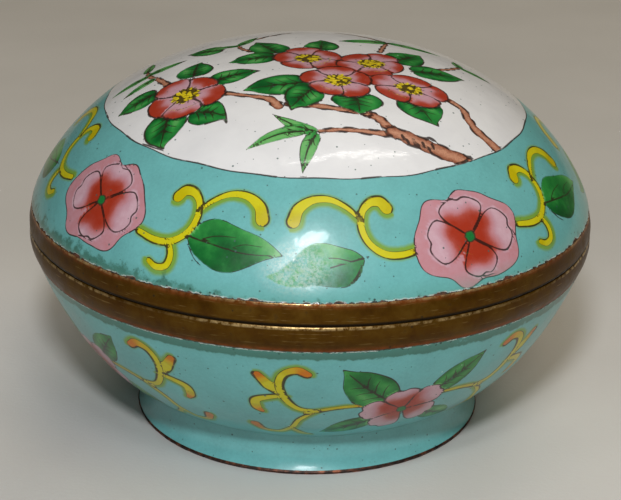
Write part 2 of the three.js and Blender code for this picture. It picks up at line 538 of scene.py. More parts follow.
def bowl_scroll(brush, hot=0.75):
    """The bowl's scroll, to the left of a flower at the origin: two heads, an arm and a low curl."""

    def tone(along):
        return 1.0 - hot * ease(0.6, 0.95, along)

    # Each stroke's points, widths, tone, inked side, ink and halo.
    strokes = [
        ([(-19.6, -5.8), (-17.8, -8.2), (-15.9, -9.4)], (1.0, 1.2, 0.6), 0.9, 1, 0.12, 0.6),
        ([(-15.5, 1.4), (-18.2, -1.6), (-19.6, -5.0), (-22.3, -7.7), (-25.2, -7.2), (-26.6, -4.6)],
         (0.8, 1.0, 1.1, 1.2, 1.3, 1.9), tone, -1, 0.14, 0.6),
        ([(-20.9, 6.6), (-22.7, 8.8), (-24.4, 11.6)], (1.1, 2.1, 1.4), tone, 1, 0.16, 0.5),
        ([(-20.4, 6.2), (-22.9, 5.6), (-25.2, 4.4), (-25.3, 2.2), (-24.5, 0.9)],
         (1.0, 1.3, 1.7, 1.8, 0.9), tone, -1, 0.15, 0.6),
        ([(-7.0, 2.9), (-10.9, 2.7), (-13.9, 2.0), (-16.9, 1.0)], (0.8, 0.9, 1.0, 1.1), 0.9, 1, 0.14, 0.45),
        ([(-15.2, 1.6), (-18.3, 2.4), (-20.3, 5.2), (-21.2, 8.9), (-20.4, 11.9), (-18.4, 13.0),
          (-16.9, 12.0)],
         (0.9, 1.1, 1.3, 1.3, 1.4, 1.8, 1.5), tone, -1, 0.18, 0.6),
    ]
    for stroke in strokes:
        brush.stroke("scroll", *stroke)


def twig(brush, points, widths, seed=0):
    """A brown twig with broken dark outlines."""
    curve = smooth(points)
    where = brush.near(curve)
    gap, side, along = nearest(brush.x[where], brush.y[where], curve)
    half = np.interp(along, np.linspace(0, 1, len(widths)), widths) / 2
    half = half + 0.10 * np.sin(along * 31 + seed) * np.minimum(half, 1)
    across = gap - half
    tone = 0.42 + 0.42 * np.cos(1.9 * side / np.maximum(half, 0.1))
    brush.canvas.lay("branch", where, across, tone)
    broken = 0.75 + 0.65 * np.sin(along * 23 + 2 * seed + 2 * np.sign(side))
    broken = broken + 0.25 * np.sin(along * 67 + seed)
    brush.canvas.draw(where, across, np.abs(across), 0.19 * np.clip(broken, 0.1, 1.3))


def sprig(brush, light=0.46):
    """Three pale pointed leaves on a tip, spreading to the left and curling."""
    leaf(brush.at(-0.4, 0.0, 170), 8.0, 2.3, -3.0, light, 0.08, 1, 1)
    leaf(brush.at(-2.4, 0.1, 178), 9.6, 2.5, 3.4, light, 0.06, 1, 2)
    leaf(brush.at(-0.4, -0.5, 238), 7.2, 2.7, 2.0, light, 0.10, 1, 3)


# ---------------------------------------------------------------- the lid's painting

BAND_SCALE = math.radians(46)  # mm along the lid's border for a degree, near its middle
BOWL_SCALE = math.radians(43)


def band_brush(canvas, turned, azimuth, height, scale):
    """A brush for the border, with its origin at an azimuth and a height along the wall."""
    around = (turned.azimuth - azimuth + 180) % 360 - 180
    return Brush(canvas, around * scale, turned.wall - height)


PANEL_RADIUS = 37.5  # of the white panel
PANEL_SHIFT = 0.9  # how far the hand-painted panel is off the lid's centre
PANEL_TOWARDS = math.radians(45)


def reserve_distance(turned):
    """How far each place on the lid is outside the white panel."""
    edge = PANEL_RADIUS + PANEL_SHIFT * np.cos(np.radians(turned.azimuth) - PANEL_TOWARDS)
    return turned.radius - edge - wander(turned.azimuth, 5, (11, 17, 23), 0.12)


NARROW_LEAF = 4  # a leaf less wide than this is pale, with one vein


def paint_crown(brush):
    """The blossoming branch on the white panel, in plan.

    Its places follow the photographed painting, and some of them are measurements of it.
    """
    # Twigs: points and widths.
    twigs = [
        ([(14.0, -28.0), (10.5, -28.6), (5.5, -28.9), (1.4, -29.6)], (1.5, 1.1, 0.9, 0.7)),
        ([(14.5, -27.8), (12.6, -26.6), (11.0, -25.0), (8.8, -24.3)], (2.0, 1.8, 1.7, 1.5)),
        ([(9.2, -24.4), (5, -24.0), (0.5, -23.3), (-4, -22.8)], (1.2, 1.1, 1.5, 1.2)),
        ([(-5.6, -23.4), (-7.2, -21.0), (-10.8, -19.4), (-15.5, -17.3)], (1.8, 1.5, 0.8, 1.2)),
        ([(26.3, -28.3), (22.5, -28.6), (19.0, -28.5), (15.5, -28.0), (13.2, -27.6)],
         (2.4, 2.5, 2.6, 2.8, 1.9)),
        ([(31.8, -21.8), (28.2, -20.2), (26.6, -18.0), (25.6, -15.6), (22.0, -13.8)],
         (1.9, 1.9, 1.6, 1.3, 1.2)),
        ([(-25.2, -9.2), (-27.0, -5.4), (-29.0, -1.4), (-29.6, 2.0)], (1.2, 1.0, 0.8, 0.5)),
        ([(22.5, -2.0), (24.6, 0.6), (26.5, 4.3)], (0.8, 0.7, 0.5)),
        ([(12.0, 2.4), (12.6, 6.0), (13.5, 10.6)], (0.9, 0.8, 0.6)),
        ([(13.5, 10.6), (9.0, 14.6), (4.2, 17.2)], (0.6, 0.5, 0.3)),
        ([(-10.8, 0.6), (-12.6, 3.0), (-13.5, 5.6)], (0.9, 0.8, 0.6)),
        ([(-13.5, 5.6), (-9.4, 11.2), (-4.3, 15.9)], (0.6, 0.5, 0.3)),
    ]
    for k, (points, widths) in enumerate(twigs):
        twig(brush, points, widths, k + 1)
    # Knots on the thick branch: short dark strokes, and a bump on its upper side.
    knots = [(15.2, -28.3), (16.0, -29.0), (17.0, -28.5), (17.8, -29.2), (18.6, -28.6), (19.6, -29.2)]
    knots.append((20.2, -28.3))
    for k, (x, y) in enumerate(knots):
        brush.ink([(x - 0.15, y + 0.4), (x, y), (x + 0.1, y - 0.3 - 0.1 * (k % 3))], 0.36)
    brush.ink([(19.0, -27.3), (19.6, -26.7), (20.4, -26.8), (20.9, -27.5)], 0.36)
    brush.ink([(26.6, -26.9), (25.6, -28.4), (23.6, -30.0)], 0.34)
    sprig(brush.at(1.2, -29.7))
    # Leaves: stem end, direction, length, width, bend and hook.
    leaves = [
        (-24.2, -19.6, 259, 7.8, 7.0, 0.2, 0.9), (-20.4, -21.4, 346, 7.2, 6.0, -0.8, -2.2),
        (-27.0, -10.8, 200, 6.8, 5.4, -0.4, 0.0), (-20.6, -8.8, 88, 6.6, 6.2, 0.0, -0.8),
        (-17.2, -12.6, 24, 8.4, 5.4, -0.4, -0.6), (-0.8, -15.4, 191, 11.2, 7.4, -0.5, 0.5),
        (0.2, -17.6, 236, 7.8, 6.4, 0.3, 0.6), (7.2, -18.8, 276, 6.0, 8.4, 0.4, 0.0),
        (17.0, -17.0, 294, 7.4, 7.8, 0.5, 0.9), (-6.4, -0.6, 112, 8.8, 6.8, 0.6, 0.0),
        (-6.8, -2.6, 190, 8.2, 6.0, 0.8, 0.0), (1.4, 1.6, 86, 7.0, 6.0, 0.0, 0.5),
        (-16.2, 4.2, 170, 6.2, 5.6, 0.4, 0.0), (14.4, -2.6, 52, 8.6, 7.0, 0.6, 0.0),
        (17.6, -6.4, 22, 9.6, 5.8, -0.6, 0.0),
        (-13.5, 5.6, 176, 6.2, 1.7, 0.2, 0.0), (-13.3, 6.0, 60, 7.0, 1.7, 0.3, 0.0),
        (13.3, 10.5, 192, 9.2, 3.0, 0.3, 0.0), (13.7, 10.6, 354, 9.8, 2.6, -0.3, 0.0),
        (26.5, 4.2, 352, 5.8, 1.9, -0.4, 0.0), (26.4, 4.2, 98, 4.2, 1.8, 0.3, 0.0),
        (-29.2, -1.2, 190, 6.6, 2.0, 0.6, 0.0), (-29.2, -0.6, 8, 7.0, 2.2, 0.9, 0.0),
        (-29.6, 1.6, 84, 6.8, 1.8, 0.2, 0.0), (-27.8, -4.0, 208, 6.2, 2.0, 0.2, 0.0),
    ]
    for k, (x, y, turn, length, width, bend, hook) in enumerate(leaves):
        light, ink, veins = (0.28, 0.08, 1) if width < NARROW_LEAF else (0.0, 0.21, 3)
        leaf(brush.at(x, y, turn), length, width, bend, light, ink, veins, k, hook)
    blossom(brush.at(-0.8, -3.6), 6.4, 100, seed=1)
    blossom(brush.at(10.2, -5.2), 6.3, 62, seed=2)
    blossom(brush.at(16.6, -14.2), 6.9, 12, squash=0.82, seed=3)
    blossom(brush.at(4.4, -14.2), 6.4, 22, seed=4)
    blossom(brush.at(-21.6, -15.4), 6.7, 50, seed=5)


# Direction, length, width and flush of each petal of a rose.
ROSE = [(180, 8, 7.5, 0.4), (90, 7, 9, 0.5), (0, 9, 7.5, 0.4), (280, 7, 6.5, 0.6)]
BOWL_ROSE = [
    (172, 8.0, 6.4, 0.44), (100, 6.6, 6.6, 0.52), (38, 8.2, 6.2, 0.42), (-28, 7.6, 6.4, 0.40),
    (242, 7.4, 7.0, 0.36),
]


def paint_lid(turned):
    canvas = Canvas(len(turned.azimuth))
    canvas.reserve = np.where(turned.outer, reserve_distance(turned), FAR)
    a = np.radians(turned.azimuth)
    plan = Brush(canvas, turned.radius * np.sin(a), -turned.radius * np.cos(a))
    plan.x = np.where(turned.outer, plan.x, FAR**3)
    paint_crown(plan)
    for layer in LAYERS:
        canvas.cover[layer] = np.maximum(canvas.cover[layer], canvas.reserve + 0.1)
    canvas.near[canvas.reserve > 0] = FAR
    outline = 0.15 * pressure(turned.azimuth / 90, 3, 0.5)
    canvas.draw(np.arange(len(a)), canvas.reserve, np.abs(canvas.reserve), outline)

    def spot(azimuth, height):
        return band_brush(canvas, turned, azimuth, height, BAND_SCALE)

    # Each flower's azimuth, height and turn, and the shifts of its two scrolls.
    flowers = [
        (34, 8.5, 0, (0.5, 1.5), (-1.5, 1.5)),
        (-50, 10.5, -4, (0.5, -0.5), (1.5, 2.5)),
        (125, 9.5, 12, (0.5, 0.5), (0.0, 1.0)),
        (-144, 9.0, -8, (0.0, 1.0), (0.5, 1.0)),
    ]
    for k, (azimuth, height, turn, right, left) in enumerate(flowers):
        centre = spot(azimuth, height)
        far = centre.at(-20.1 - left[0], -2.8 + left[1], 11, -1)
        long_leaf(far, 15.6, 7.0, FLAG_LEAF, 0.20, k + 4)
        if k == 0:  # the leaf at the front is worn, and nothing painted after it wears with it
            worn = spot(-2.5, 5.8)
            canvas.wear = np.exp(-((worn.x / 5.6) ** 2) - (worn.y / 4.6) ** 2) * turned.outer
            canvas.near[canvas.wear > 0.42] = FAR
        long_leaf(centre.at(19.4 + right[0], -1.0 + right[1], -5), 16.2, 7.8, BROAD_LEAF, 0.0, k)
        scroll(centre.at(*right), 0.12)
        scroll(centre.at(-left[0], left[1], 0, -1), 0.1, hook=k != 0)
        rose(centre.at(0, 0, turn), ROSE, k, edged=True)
    return canvas


def paint_bowl(turned):
    canvas = Canvas(len(turned.azimuth))
    for k, azimuth in enumerate((22.5, -60.0, 113, -154)):
        centre = band_brush(canvas, turned, azimuth, -17.5, BOWL_SCALE)
        bowl_scroll(centre.at(0, 0))
        bowl_scroll(centre.at(-0.5, 0.4, 0, -1))
        leaf(centre.at(-3.4, 3.8, 136), 12.4, 7.8, -1.0, 0.0, 0.16, 3, k)
        leaf(centre.at(5.0, 4.6, 44), 10.6, 5.6, 0.8, 0.05, 0.12, 3, k + 1)
        leaf(centre.at(-5.4, -2.8, 206), 10.2, 5.4, 0.4, 0.0, 0.10, 2, k + 2)
        leaf(centre.at(5.6, -3.0, 332), 9.6, 4.8, 0.0, 0.12, 0.08, 2, k + 3)
        rose(centre.at(0, 0, 4 * k), BOWL_ROSE, k + 5)
    canvas.reserve = np.full(len(turned.azimuth), FAR)
    return canvas


def store_paint(piece, canvas):
    cover = canvas.cover
    stored = {
        "shapes": np.column_stack([cover["petal"], cover["leaf"], cover["scroll"]]),
        "grounds": np.column_stack([cover["branch"], canvas.reserve, canvas.halo]),
        "strokes": np.column_stack([canvas.line, canvas.near, canvas.tone]),
        "heart": canvas.heart,
        "wear": canvas.wear,
    }
    for name, values in stored.items():
        set_attribute(piece, name, values)


# ---------------------------------------------------------------- materials


class Graph:
    """Builds a material's nodes. A value is a number, a colour or another node's output."""

    def __init__(self, name):
        self.material = bpy.data.materials.new(name)
        self.material.use_nodes = True
        self.tree = self.material.node_tree
        self.shader = self.tree.nodes["Principled BSDF"]

    def feed(self, socket, value):
        if isinstance(value, bpy.types.NodeSocket):
            self.tree.links.new(value, socket)
        elif isinstance(value, tuple) and len(value) == 3 and socket.type == "RGBA":
            socket.default_value = (*value, 1.0)
        else:
            socket.default_value = value

    def node(self, kind, inputs=(), **settings):
        made = self.tree.nodes.new("ShaderNode" + kind)
        for key, value in settings.items():
            setattr(made, key, value)
        for key, value in dict(inputs).items():
            self.feed(made.inputs[key], value)
        return made

    def math(self, operation, a, b=0.0, c=0.0):
        made = self.node("Math", {0: a, 1: b, 2: c}, operation=operation)
        return made.outputs[0]

    def times(self, a, b):
        return self.math("MULTIPLY", a, b)

    def swing(self, noise, size):
        """A noise moved to lie evenly about 0, times a size."""
        return self.times(self.math("SUBTRACT", noise, 0.5), size)

    def step(self, value, low, high, start=0.0, end=1.0):
        """start below low, end above high, and a straight ramp between them."""
        inputs = {"Value": value, "From Min": low, "From Max": high, "To Min": start, "To Max": end}
        return self.node("MapRange", inputs).outputs[0]

    def mix(self, share, a, b):
        return self.node("Mix", {0: share, 6: a, 7: b}, data_type="RGBA").outputs[2]

    def ramp(self, value, stops):
        made = self.node("ValToRGB", {0: value})
        elements = made.color_ramp.elements
        while len(elements) < len(stops):
            elements.new(0.5)
        for element, (place, colour) in zip(elements, stops):
            element.position, element.color = place, (*colour, 1.0)
        return made.outputs[0]

    def attribute(self, name):
        return self.node("Attribute", attribute_name=name)

    def parts(self, vector):
        return self.node("SeparateXYZ", {0: vector}).outputs

    def triple(self, name):
        """The three numbers of a mesh attribute."""
        return self.parts(self.attribute(name).outputs["Vector"])

    def surface(self, inputs):
        """Feeds the shader's own sockets, each by its name."""
        for key, value in inputs.items():
            self.feed(self.shader.inputs[key], value)

    def bump(self, strength, depth, height):
        """Makes the surface uneven, by a depth in millimetres, and returns the bent normal."""
        inputs = {"Strength": strength, "Distance": depth * MM, "Height": height}
        normal = self.node("Bump", inputs).outputs["Normal"]
        self.surface({"Normal": normal})
        return normal

    def noise(self, size, detail=2.0, roughness=0.5, place=None):
        """Noise from 0 to 1 with features about size millimetres across."""
        inputs = {"Scale": 1 / (size * MM), "Detail": detail, "Roughness": roughness}
        inputs["Vector"] = place if place else self.place
        return self.node("TexNoise", inputs).outputs["Fac"]

    def specks(self, size, share, shift=0.0):
        """Small dots, as three values.

        They are the distance to the nearest scattered point in cells, whether that point is among
        the chosen share, and a random number for it.
        """
        shifted = self.node("VectorMath", {0: self.place, 1: (shift,) * 3}, operation="ADD")
        cell = self.node("TexVoronoi", {"Vector": shifted.outputs[0], "Scale": 1 / (size * MM)})
        chosen = self.math("LESS_THAN", self.parts(cell.outputs["Color"])[0], share)
        return cell.outputs["Distance"], chosen, self.parts(cell.outputs["Color"])[1]

    @property
    def place(self):
        if not hasattr(self, "_place"):
            self._place = self.node("TexCoord").outputs["Object"]
        return self._place


TURQUOISE = (0.132, 0.388, 0.387)
INK = (0.022, 0.010, 0.008)


def lighter(colour, times):
    return tuple(part * times for part in colour)


def enamel(name, painted, chipped, painted_light_lift=1.0, gloss=0.5):
    """Turquoise enamel, made lighter by the lift, which is painted light. gloss is the weight of its clear
    coat.
    """
    g = Graph(name)
    mottle = g.noise(7.0, 3.0, 0.6)
    grain = g.noise(0.5, 3.0, 0.7)
    clouds = g.math("ADD", g.times(mottle, 0.55), g.times(grain, 0.45))
    shades = [(0.30, 0.84), (0.50, 1.0), (0.70, 1.13)]
    # Painted light: the lift makes the same turquoise lighter on some parts.
    colour = g.ramp(clouds, [(place, lighter(TURQUOISE, times * painted_light_lift)) for place, times in shades])
    rough = 0.30
    coat = gloss
    haze = g.step(g.noise(5.0, 3.0, 0.6), 0.45, 0.75, 0.0, 0.08)
    if painted:
        colour, matte = painted_colour(g, colour, mottle, grain)
        coat = g.math("MULTIPLY_ADD", matte, -gloss, gloss)
        haze = g.math("MULTIPLY_ADD", matte, 0.18, haze)
    colour = specked_colour(g, colour)
    if chipped:
        colour, rough = chip_colour(g, colour)
    ripple = g.math("ADD", g.times(g.noise(3.2, 1.0), 0.7), g.times(g.noise(0.8, 1.0), 0.12))
    g.surface({
        "Base Color": colour,
        "Roughness": g.math("ADD", rough, haze),
        "IOR": 1.5,
        "Specular IOR Level": 0.2 + 0.6 * gloss,
        "Coat Weight": coat,
        "Coat Roughness": 0.10,
        "Coat IOR": 1.5,
        "Coat Normal": g.bump(0.35, 0.25, ripple),
    })
    return g.material


def painted_colour(g, ground, mottle, grain):
    """The painting over the ground's colour, and how matte its worn leaf is."""
    shapes, grounds, strokes = g.triple("shapes"), g.triple("grounds"), g.triple("strokes")
    wear = g.attribute("wear").outputs["Fac"]
    tone = strokes[2]
    wobble = g.swing(g.noise(1.1, 2.0), 0.34)
    wash = g.noise(2.2, 3.0, 0.65)

    def cover(distance, soft, shake=1.0):
        return g.step(g.math("MULTIPLY_ADD", wobble, shake, distance), soft, -soft)

    def shaded(noise, stops):
        return g.ramp(g.math("ADD", tone, noise), stops)

    white = g.mix(g.step(mottle, 0.35, 0.7), (0.70, 0.695, 0.70), (0.645, 0.64, 0.65))
    colour = g.mix(g.step(grounds[1], 0.04, -0.04), ground, white)
    halo = g.step(g.math("MULTIPLY_ADD", wobble, 0.8, grounds[2]), 0.35, -0.25, 0.0, 0.9)
    colour = g.mix(halo, colour, (0.17, 0.30, 0.005))
    green = shaded(g.swing(wash, 0.55), [
        (0.0, (0.001, 0.038, 0.010)), (0.30, (0.004, 0.115, 0.020)), (0.62, (0.028, 0.25, 0.045)),
        (1.0, (0.14, 0.40, 0.12))])
    thin = g.times(wear, g.step(g.noise(1.4, 4.0, 0.75), 0.30, 0.60))
    colour = g.mix(g.times(cover(shapes[1], 0.10), g.math("SUBTRACT", 1.0, thin)), colour, green)
    rubbed = g.step(g.noise(0.45, 3.0, 0.7), 0.42, 0.60)
    colour = g.mix(g.times(g.step(wear, 0.25, 0.75, 0.0, 0.55), rubbed), colour, (0.42, 0.52, 0.46))
    matte = g.times(cover(shapes[1], 0.3), g.step(wear, 0.10, 0.45))
    bark = shaded(g.swing(grain, 0.9), [
        (0.15, (0.11, 0.032, 0.015)), (0.5, (0.28, 0.10, 0.055)), (0.95, (0.54, 0.27, 0.17))])
    colour = g.mix(cover(grounds[0], 0.06), colour, bark)
    flow = g.swing(wash, 0.42)
    pink = shaded(flow, [
        (0.02, (0.33, 0.030, 0.012)), (0.28, (0.38, 0.070, 0.052)), (0.58, (0.47, 0.20, 0.225)),
        (0.80, (0.49, 0.27, 0.32)), (1.0, (0.56, 0.37, 0.43))])
    colour = g.mix(cover(shapes[0], 0.06, 0.7), colour, pink)
    yellow = shaded(g.times(flow, 0.5), [
        (0.2, (0.52, 0.13, 0.002)), (0.55, (0.54, 0.33, 0.002)), (0.9, (0.46, 0.39, 0.002)),
        (1.0, (0.54, 0.49, 0.008))])
    colour = g.mix(cover(shapes[2], 0.07, 0.4), colour, yellow)
    across = g.math("ABSOLUTE", g.math("MULTIPLY_ADD", wobble, 1.2, strokes[0]))
    ink_here = g.times(g.step(across, 1.35, 0.75), g.step(strokes[1], 0.36, 0.24))
    ink_flow = g.step(g.noise(1.6, 2.0), 0.26, 0.42, 0.35, 0.92)
    colour = g.mix(g.times(ink_here, ink_flow), colour, INK)
    return heart_colour(g, g.triple("heart"), colour), matte


def specked_colour(g, colour):
    """Many small dark dots and a few pale flecks over a colour."""
    dots, chosen, random = g.specks(1.2, 0.52)
    size = g.math("MULTIPLY_ADD", g.times(random, random), 0.10, 0.055)
    dark = g.times(chosen, g.step(g.math("SUBTRACT", dots, size), 0.035, -0.01, 0.0, 0.85))
    colour = g.mix(dark, colour, (0.045, 0.10, 0.09))
    flecks, chosen, _ = g.specks(3.6, 0.10, 0.05)
    pale = g.times(chosen, g.step(flecks, 0.055, 0.035, 0.0, 0.8))
    return g.mix(pale, colour, (0.62, 0.72, 0.70))


def heart_colour(g, heart, colour):
    """Stamens in a blossom (kind 1) and a green eye in a rose (kind 2)."""
    flat = g.node("CombineXYZ", {0: heart[0], 1: heart[1]}).outputs[0]
    out = g.node("VectorMath", {0: flat}, operation="LENGTH").outputs["Value"]
    turn = g.math("ARCTAN2", heart[1], heart[0])
    blossom_here = g.math("COMPARE", heart[2], 1.0, 0.4)
    rose_here = g.math("COMPARE", heart[2], 2.0, 0.4)
    twist = g.math("MULTIPLY_ADD", turn, 5.5, g.times(out, 0.5))
    rays = g.math("ABSOLUTE", g.math("SINE", twist))
    reach = g.math("MULTIPLY_ADD", rays, -0.35, g.math("MULTIPLY_ADD", g.noise(1.2), 1.6, 1.75))
    stamen = g.times(blossom_here, g.step(g.math("SUBTRACT", out, reach), 0.10, -0.10))
    yellow = g.mix(g.step(g.noise(0.6), 0.4, 0.6), (0.50, 0.36, 0.006), (0.72, 0.58, 0.02))
    colour = g.mix(stamen, colour, yellow)
    lumps, _, _ = g.specks(0.85, 0.80, 0.02)
    between = g.times(stamen, g.step(lumps, 0.50, 0.62))
    colour = g.mix(g.times(between, 0.9), colour, INK)
    filament = g.times(g.step(rays, 0.93, 0.98), g.step(out, 2.9, 2.5))
    filament = g.times(g.times(blossom_here, filament), g.step(out, 1.3, 1.6))
    colour = g.mix(g.times(filament, 0.8), colour, INK)
    eye = g.math("ADD", g.swing(g.noise(1.0), 0.8), out)
    ring = g.times(rose_here, g.step(eye, 1.1, 0.95, 0.0, 0.9))
    colour = g.mix(ring, colour, (0.03, 0.035, 0.02))
    return g.mix(g.times(rose_here, g.step(eye, 0.85, 0.7)), colour, (0.010, 0.15, 0.035))


def chip_colour(g, colour):
    """Bare dark edge, a pale broken line above it, stains, and painted shade next to the rims, along the
    foot of the enamel.
    """
    edge = g.triple("edge")
    jag = g.swing(g.noise(0.40, 3.0, 0.75), 0.60)
    above = g.math("ADD", edge[0], jag)  # mm above the chips' upper limit
    # The edge's third number holds the lid's stains and the bowl's painted shade under its rim; where it
    # runs high, the enamel turns dark green-grey.
    stain_and_shade_cover = g.math("MULTIPLY_ADD", edge[2], 0.5, g.noise(2.0, 4.0, 0.7))
    colour = g.mix(g.step(stain_and_shade_cover, 0.70, 0.86, 0.0, 0.86), colour, (0.024, 0.095, 0.062))
    # Painted shade: the enamel darkens within 3.2 mm of the brass rim.
    colour = g.mix(g.step(edge[1], 3.2, 0.0, 0.0, 0.40), colour, (0.10, 0.30, 0.25))
    grit, chosen, _ = g.specks(0.8, 0.45, 0.04)
    grit_here = g.times(g.step(above, 0.9, 0.3), g.step(grit, 0.30, 0.20))
    colour = g.mix(g.times(chosen, grit_here), colour, (0.012, 0.035, 0.025))
    broken = g.step(g.noise(1.3, 2.0), 0.40, 0.52, 0.0, 0.85)
    crack = g.times(g.step(above, 0.20, 0.10), broken)
    colour = g.mix(crack, colour, (0.52, 0.60, 0.55))
    bare = g.step(above, 0.04, -0.04)
    metal = g.mix(g.step(g.noise(0.8, 2.0), 0.4, 0.6), (0.012, 0.016, 0.010), (0.11, 0.035, 0.015))
    colour = g.mix(bare, colour, metal)
    return colour, g.math("MULTIPLY_ADD", bare, 0.35, 0.30)


def brass(name):
    """Old brass: olive brown with smudges, rubbed bright on its edges where a painted highlight also lies,
    painted shade in the seam, coppery where enamel ends.
    """
    g = Graph(name)
    ring = g.triple("ring")  # rubbed bright with a painted highlight above 0 and painted seam shade below 0, coppery, and place round the axis in mm
    drawn = g.node("CombineXYZ", {0: g.times(ring[2], 0.06 * MM), 1: g.parts(g.place)[2]})
    lines = g.noise(0.35, 3.0, 0.6, drawn.outputs[0])
    cloud = g.noise(6.0, 4.0, 0.6)
    blotch = g.noise(1.6, 3.0, 0.6)
    tarnish = g.math("ADD", g.times(cloud, 0.6), g.times(blotch, 0.4))
    colour = g.ramp(tarnish, [
        (0.36, (0.057, 0.022, 0.001)), (0.50, (0.077, 0.033, 0.001)), (0.64, (0.102, 0.050, 0.004))])
    colour = g.mix(g.step(blotch, 0.62, 0.72, 0.0, 0.5), colour, (0.045, 0.024, 0.006))
    coppery = g.times(ring[1], g.step(blotch, 0.35, 0.6, 0.35, 1.0))
    colour = g.mix(coppery, colour, (0.22, 0.055, 0.012))
    rub_and_painted_light = g.times(ring[0], g.step(g.noise(1.1, 3.0, 0.7), 0.40, 0.62))
    # Rubbed bright brass, with a painted highlight along the same line.
    colour = g.mix(rub_and_painted_light, colour, (0.62, 0.44, 0.20))
    scratch = g.times(g.step(lines, 0.62, 0.70), 0.30)
    colour = g.mix(scratch, colour, (0.42, 0.29, 0.11))
    pits, chosen, _ = g.specks(1.6, 0.22, 0.03)
    pitted = g.times(chosen, g.step(pits, 0.16, 0.10, 0.0, 0.8))
    colour = g.mix(pitted, colour, (0.03, 0.022, 0.010))
    # Painted shade: the seam between the rims goes near black.
    colour = g.mix(g.step(ring[0], 0.0, -0.8), colour, (0.012, 0.007, 0.002))
    dull = g.step(tarnish, 0.4, 0.62, 0.34, 0.50)
    g.bump(0.5, 0.06, g.math("ADD", g.times(lines, 0.5), g.times(g.noise(1.3, 3.0, 0.6), 0.7)))
    g.surface({
        "Base Color": colour,
        "Metallic": 0.55,
        "Specular IOR Level": 0.15,
        "Roughness": g.math("SUBTRACT", dull, g.times(rub_and_painted_light, 0.20)),
    })
    return g.material


def bare_edge(name):
    """The foot's bare copper edge, blackened with a red-brown rub."""
    g = Graph(name)
    blotch = g.noise(1.4, 3.0, 0.6)
    colour = g.ramp(blotch, [
        (0.35, (0.018, 0.014, 0.012)), (0.52, (0.06, 0.026, 0.016)), (0.66, (0.24, 0.075, 0.035))])
    g.bump(0.6, 0.05, g.noise(0.7, 3.0))
    g.surface({"Base Color": colour, "Metallic": 0.6, "Roughness": g.step(blotch, 0.35, 0.65, 0.6, 0.42)})
    return g.material


# ---------------------------------------------------------------- the pieces

FINE, COARSE = 0.385, 3.0  # pitch of the rings in mm


def ring_counts(radii, fine=True):
    """Vertices in each ring: fewer towards the axis, and each count divides its neighbour's."""
    steps = [(24, SKIN_AROUND), (11, 360), (5, 180), (1e-3, 60)] if fine else [(8, 120), (1e-3, 60)]
    return [next((count for least, count in steps if r > least), 1) for r in radii]


def dress(piece, node):
    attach(piece, "root")
    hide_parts(node)
    return piece


def make_lid_dome():
    outside = resample(dome_curve(DOME_HIGH.x, DOME_HIGH.z - DOME_LOW.z), FINE, 1.4, 0.2)
    inside_curve = dome_curve(DOME_HIGH.x - WALL, DOME_HIGH.z - DOME_LOW.z - WALL)
    within = resample(inside_curve, COARSE)[::-1]
    rings = np.vstack([outside, within])
    counts = ring_counts(outside[:, 0]) + ring_counts(within[:, 0], fine=False)
    lid = Turned(rings, counts)
    split = len(outside) - 1
    lid.outer = lid.ring <= split
    lid.wall = np.where(lid.outer, lid.run[split] - lid.along, FAR**3)
    # Chips: a ragged bare strip at the base, deeper at a few places, where the enamel is broken away.
    ragged = 0.07 + np.abs(wander(lid.azimuth, 21, (61, 89, 127, 171), 0.13))
    ragged += 0.30 * ease(0.35, 0.85, wander(lid.azimuth, 22, (19, 43, 71), 0.42))
    above = np.where(lid.outer, lid.wall - ragged, FAR)
    lid.radius = lid.radius - 0.22 * ease(0.12, -0.05, above) * (lid.wall > 0.05)
    sway = wander(lid.azimuth, 31, (2, 3, 5), 0.10) * ease(0.5, 12, lid.wall) * lid.outer
    lid.height = lid.height + np.minimum(sway * ease(0, 30, lid.radius), 0)
    canvas = paint_lid(lid)
    piece = lid.build("lid_enamel", [enamel("Painted enamel, lid", True, True)])
    lid.disc_map(piece, split, True)
    store_paint(piece, canvas)
    # Stains: some all round, and more on the left.
    left = 0.55 * ease(80, 40, np.abs((lid.azimuth + 80 + 180) % 360 - 180)) * ease(4.5, 1.2, lid.wall)
    stains_and_shade = np.where(lid.outer, left + 0.30 * ease(2.0, 0.4, lid.wall), 0)
    set_attribute(piece, "edge", np.column_stack([above, lid.wall, stains_and_shade]))
    return dress(piece, "lid_dome")


